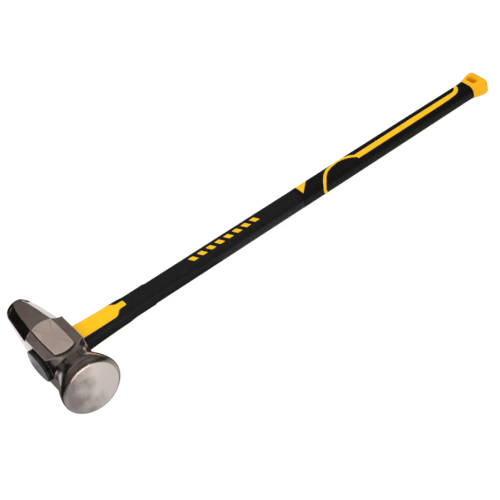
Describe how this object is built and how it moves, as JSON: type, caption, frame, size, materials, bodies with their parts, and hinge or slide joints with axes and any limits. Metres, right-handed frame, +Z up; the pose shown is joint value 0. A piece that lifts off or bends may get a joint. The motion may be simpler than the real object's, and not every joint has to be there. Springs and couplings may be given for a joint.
{
  "type": "sledgehammer",
  "caption": "Long-handled sledgehammer: forged head with a domed bell face and an octagonal poll, and a fibre-core handle with a soft grip and a hanging hole.",
  "frame": {"origin": "Middle of the rectangle that the hammer covers when it lies on its cheek, on the plane that the rim of the striking face touches", "axes": "+X along the head towards the domed striking face, +Y along the handle towards the end cap, +Z up, square to the head's cheeks"},
  "size_m": [0.2376, 0.899, 0.0972],
  "materials": {
    "forged_steel": "dark varnished forging with bright ground striking face and cheek pads",
    "plug_plastic": "satin dark grey moulding",
    "epoxy": "cast resin",
    "glass_fibre": "pultruded rod",
    "black_jacket": "fine moulded grain",
    "yellow_inlay": "smooth satin moulding",
    "black_grip": "soft matt elastomer with fine grain",
    "yellow_cap": "satin elastomer"
  },
  "bodies": {
    "root": {"hammer_head": "forged_steel", "eye_plug": "plug_plastic", "eye_resin": "epoxy", "core_rod": "glass_fibre", "neck_guard": "black_jacket", "neck_panel_front": "yellow_inlay", "neck_panel_back": "yellow_inlay", "shaft_jacket": "black_jacket", "shaft_mark_front": "yellow_inlay", "shaft_mark_back": "yellow_inlay", "grip_cover": "black_grip", "wedge_mark_front": "yellow_inlay", "wedge_mark_back": "yellow_inlay", "grip_band": "yellow_inlay", "grip_stripe_front": "yellow_inlay", "grip_stripe_back": "yellow_inlay", "end_cap": "yellow_cap"}
  },
  "joints": []
}
